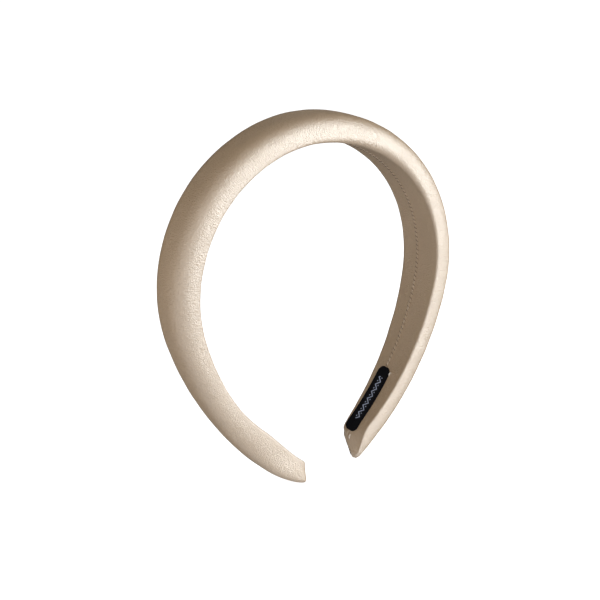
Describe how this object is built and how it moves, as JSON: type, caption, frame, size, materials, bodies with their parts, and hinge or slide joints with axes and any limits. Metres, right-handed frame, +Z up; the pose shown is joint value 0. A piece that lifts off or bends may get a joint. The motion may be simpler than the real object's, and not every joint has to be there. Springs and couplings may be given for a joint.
{
  "type": "padded headband",
  "caption": "Wide domed hair band: a sprung moulded core under a foam pad, wrapped in satin closed by a stitched inner seam, with two arms that spread apart.",
  "frame": {"origin": "centre of the crown's inner arc, on the band's centre plane", "axes": "X runs from ear to ear with the label on the +X arm, +Y towards the wearer's rear edge, +Z up out of the crown"},
  "size_m": [0.144, 0.028, 0.1617],
  "materials": {
    "core_plastic": "moulded, smooth",
    "foam": "soft cut foam",
    "wadding": "thin needled wadding",
    "satin": "champagne satin with a soft sheen",
    "thread": "polyester sewing thread",
    "label_satin": "woven black satin ribbon"
  },
  "bodies": {
    "crown": {"core_crown": "core_plastic", "pad_crown": "foam", "wadding_crown": "wadding", "cover_crown": "satin", "seam_crown": "thread"},
    "left_arm": {"core_left": "core_plastic", "pad_left": "foam", "wadding_left": "wadding", "cover_left": "satin", "seam_left": "thread", "tip_stitch_left": "thread"},
    "right_arm": {"core_right": "core_plastic", "pad_right": "foam", "wadding_right": "wadding", "cover_right": "satin", "seam_right": "thread", "tip_stitch_right": "thread", "label": "label_satin", "label_tack_top": "thread", "label_tack_low": "thread"}
  },
  "joints": [
    {"name": "left_flex", "type": "hinge", "parent": "crown", "child": "left_arm", "pos_m": [-0.05452, 0, 0.03148], "axis": [0, 1, 0], "range_deg": [-3, 15], "stiffness_Nm_per_rad": 0.6},
    {"name": "right_flex", "type": "hinge", "parent": "crown", "child": "right_arm", "pos_m": [0.05452, 0, 0.03148], "axis": [0, -1, 0], "range_deg": [-3, 15], "stiffness_Nm_per_rad": 0.6}
  ]
}
